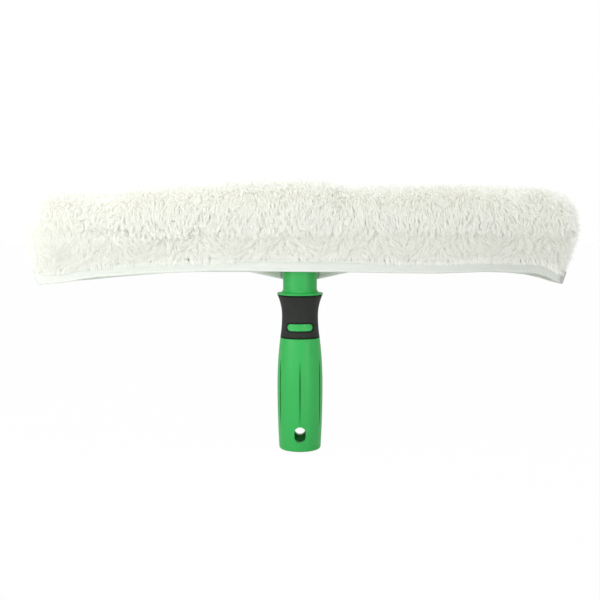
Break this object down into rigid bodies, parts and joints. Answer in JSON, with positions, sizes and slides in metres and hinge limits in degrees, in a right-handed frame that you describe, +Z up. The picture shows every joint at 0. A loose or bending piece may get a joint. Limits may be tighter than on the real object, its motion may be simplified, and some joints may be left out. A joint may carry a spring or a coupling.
{
  "type": "window washer",
  "caption": "T-shaped window washer: thick pile sleeve over a moulded crossbar, green handle with a black rubber grip, pole socket and hanging hole.",
  "frame": {"origin": "centre of the pole socket's mouth, in the handle's lower end face", "axes": "+Z up the handle to the sleeve, X along the sleeve, the front faces -Y"},
  "size_m": [0.46, 0.059, 0.2199],
  "materials": {
    "green_plastic": "satin moulded",
    "black_rubber": "matt moulded",
    "zinc_steel": "zinc plated",
    "pile_cloth": "long synthetic pile",
    "hem_webbing": "woven tape",
    "hook_tape": "hook tape",
    "loop_tape": "loop tape"
  },
  "bodies": {
    "tbar": {"grip_body": "green_plastic", "grip_rubber": "black_rubber", "badge_inlay": "green_plastic", "neck_collar": "green_plastic", "crossbar": "green_plastic", "cross_pin": "zinc_steel", "handle_screw": "zinc_steel", "screw_washer": "zinc_steel"},
    "sleeve": {"pile_wrap": "pile_cloth", "left_end_pile": "pile_cloth", "right_end_pile": "pile_cloth", "front_hem_tape": "hem_webbing", "back_hem_tape": "hem_webbing", "left_corner_fold": "hem_webbing", "right_corner_fold": "hem_webbing", "left_loop_strip": "loop_tape", "right_loop_strip": "loop_tape"},
    "left_flap": {"left_closure_flap": "hem_webbing", "left_hook_strip": "hook_tape"},
    "right_flap": {"right_closure_flap": "hem_webbing", "right_hook_strip": "hook_tape"}
  },
  "joints": [
    {"name": "sleeve_lift", "type": "slide", "parent": "tbar", "child": "sleeve", "axis": [0, 0, 1], "range_m": [0, 0.075]},
    {"name": "left_flap_fold", "type": "hinge", "parent": "sleeve", "child": "left_flap", "pos_m": [-0.0624, 0.0135, 0.1654], "axis": [-1, 0, 0], "range_deg": [0, 70]},
    {"name": "right_flap_fold", "type": "hinge", "parent": "sleeve", "child": "right_flap", "pos_m": [0.0624, 0.0135, 0.1654], "axis": [-1, 0, 0], "range_deg": [0, 70]}
  ]
}
